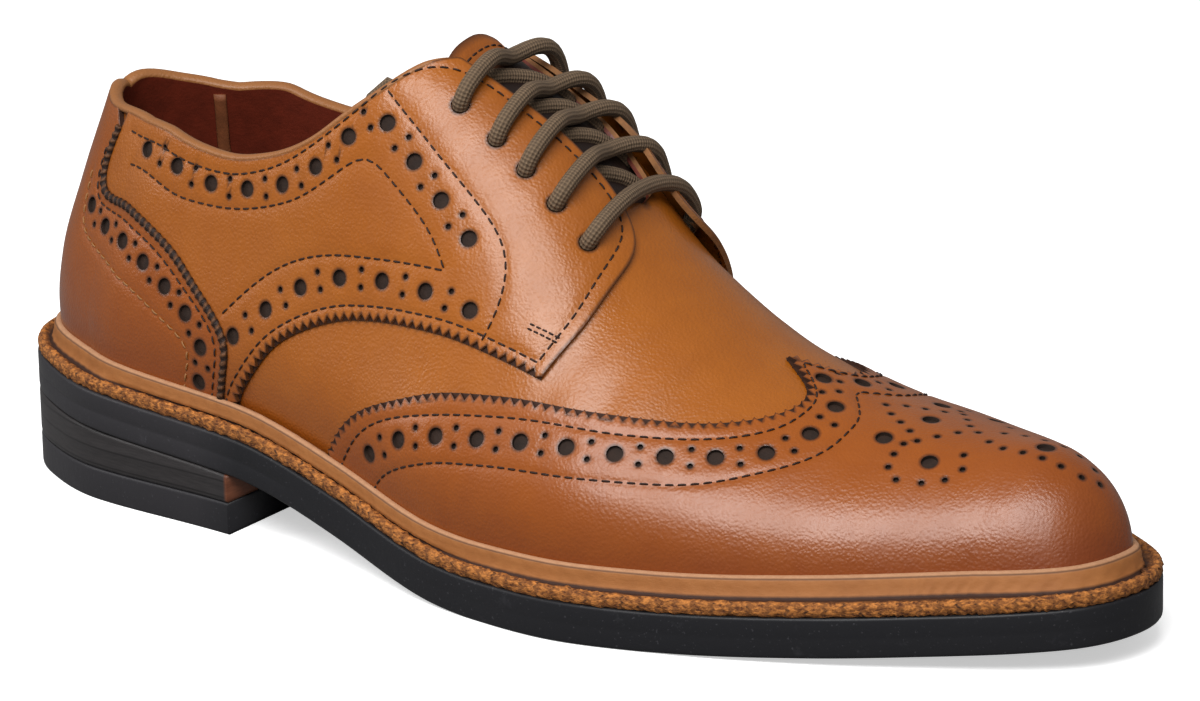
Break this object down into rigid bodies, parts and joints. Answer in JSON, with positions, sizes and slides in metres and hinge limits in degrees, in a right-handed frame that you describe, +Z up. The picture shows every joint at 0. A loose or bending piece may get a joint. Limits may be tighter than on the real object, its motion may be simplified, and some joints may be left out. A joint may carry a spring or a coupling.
{
  "type": "brogue shoe",
  "caption": "Leather wing-tip brogue shoe of derby cut, with open lacing, a storm welt, a rubber sole and a stacked heel.",
  "frame": {"origin": "on the floor, under the middle of the sole's outline in plan", "axes": "+X from heel to toe, +Z up, -Y the outer (lateral) side of this right shoe"},
  "size_m": [0.31, 0.114, 0.1203],
  "materials": {
    "outsole": "near-black moulded rubber, smooth edge, satin",
    "heel_stack": "dark brown stacked leather, waxed edge",
    "heel_top_piece": "near-black rubber, satin",
    "welt": "tan split leather, raw fibrous edge, waxed rib",
    "insole": "burgundy lined sock, matt",
    "upper": "golden brown calf, burnished, soft gloss; burgundy lining",
    "wing_cap": "golden brown calf, burnished darker at the toe, soft gloss",
    "heel_counter": "golden brown calf, burnished darker at the edges",
    "quarter_lateral": "golden brown calf, soft gloss",
    "quarter_medial": "golden brown calf, soft gloss",
    "tongue": "golden brown calf, satin",
    "lace": "dark taupe-brown waxed round lace, fine braid"
  },
  "bodies": {
    "root": {"outsole": "outsole", "heel_stack": "heel_stack", "heel_top_piece": "heel_top_piece", "welt": "welt", "insole": "insole", "upper": "upper", "wing_cap": "wing_cap", "heel_counter": "heel_counter", "quarter_lateral": "quarter_lateral", "quarter_medial": "quarter_medial", "tongue": "tongue", "lace_bar_1": "lace", "lace_bar_2": "lace", "lace_bar_3": "lace", "lace_bar_4": "lace", "lace_bar_5": "lace", "lace_end": "lace"}
  },
  "joints": []
}
